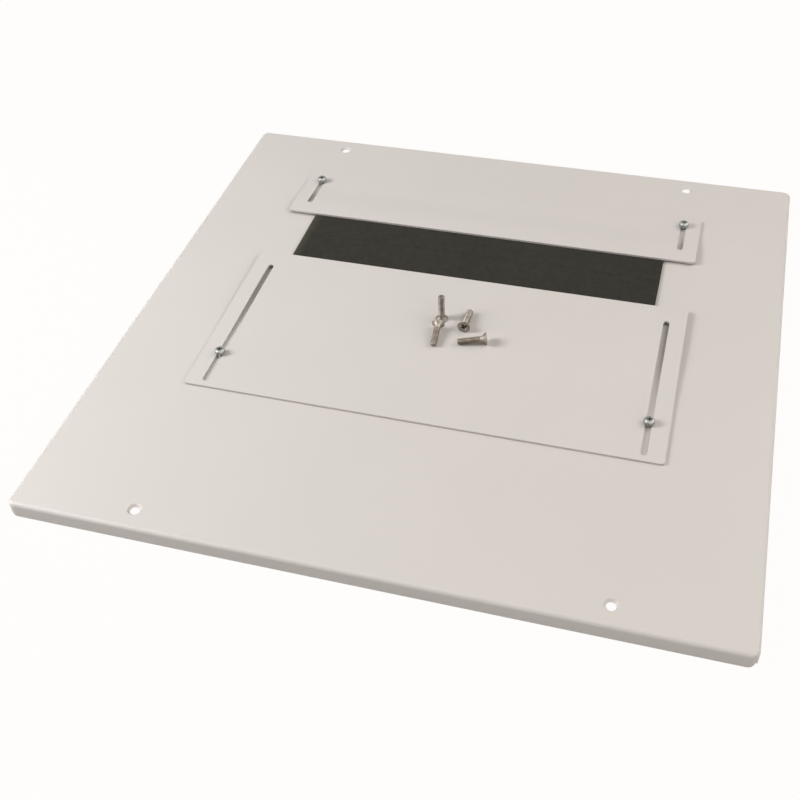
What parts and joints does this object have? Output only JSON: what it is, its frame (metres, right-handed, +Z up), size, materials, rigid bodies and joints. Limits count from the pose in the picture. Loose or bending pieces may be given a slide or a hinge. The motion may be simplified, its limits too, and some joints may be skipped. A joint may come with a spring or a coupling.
{
  "type": "enclosure top plate",
  "caption": "Square folded sheet top plate for an enclosure, with a cable opening closed by two slotted sliding covers and soft sealing strips.",
  "frame": {"origin": "centre of the plate, on the plane that the rim of its folded edges rests on", "axes": "+X to the right and +Y to the rear, seen from the side of the deeper cover; +Z up out of the plate's outer face"},
  "size_m": [0.6, 0.6, 0.0456],
  "materials": {
    "plate_paint": "warm light grey powder coat, fine satin texture",
    "cover_paint": "warm light grey powder coat, fine satin texture",
    "seal_foam": "charcoal cellular rubber, matt",
    "screw_zinc": "bright zinc-plated steel",
    "nut_zinc": "zinc-plated steel"
  },
  "bodies": {
    "plate": {"base_plate": "plate_paint", "guide_screws": "screw_zinc", "guide_nuts": "nut_zinc"},
    "front_slide": {"front_cover": "cover_paint", "front_seal_strip": "seal_foam", "fixing_screws": "screw_zinc"},
    "rear_slide": {"rear_cover": "cover_paint", "rear_seal_strip": "seal_foam"}
  },
  "joints": [
    {"name": "front_cover_slide", "type": "slide", "parent": "plate", "child": "front_slide", "axis": [0, -1, 0], "range_m": [0, 0.1343]},
    {"name": "rear_cover_slide", "type": "slide", "parent": "plate", "child": "rear_slide", "axis": [0, 1, 0], "range_m": [0, 0.0408]}
  ]
}
